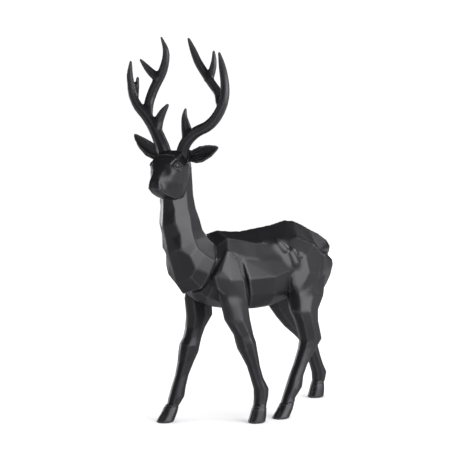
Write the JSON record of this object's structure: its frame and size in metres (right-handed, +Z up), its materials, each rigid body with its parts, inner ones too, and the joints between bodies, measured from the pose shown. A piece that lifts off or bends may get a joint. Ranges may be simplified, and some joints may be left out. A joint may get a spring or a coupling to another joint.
{
  "type": "stag figurine",
  "caption": "Black cast stag figurine, cut in large flat facets, walking with its head turned and branching antlers.",
  "frame": {"origin": "middle of the box that the stag fills, at the level of its soles", "axes": "+Z up, the stag looks along -Y and its left side is +X"},
  "size_m": [0.1278, 0.3196, 0.4392],
  "materials": {
    "black_resin": "satin black painted cast resin"
  },
  "bodies": {
    "root": {"stag": "black_resin"}
  },
  "joints": []
}
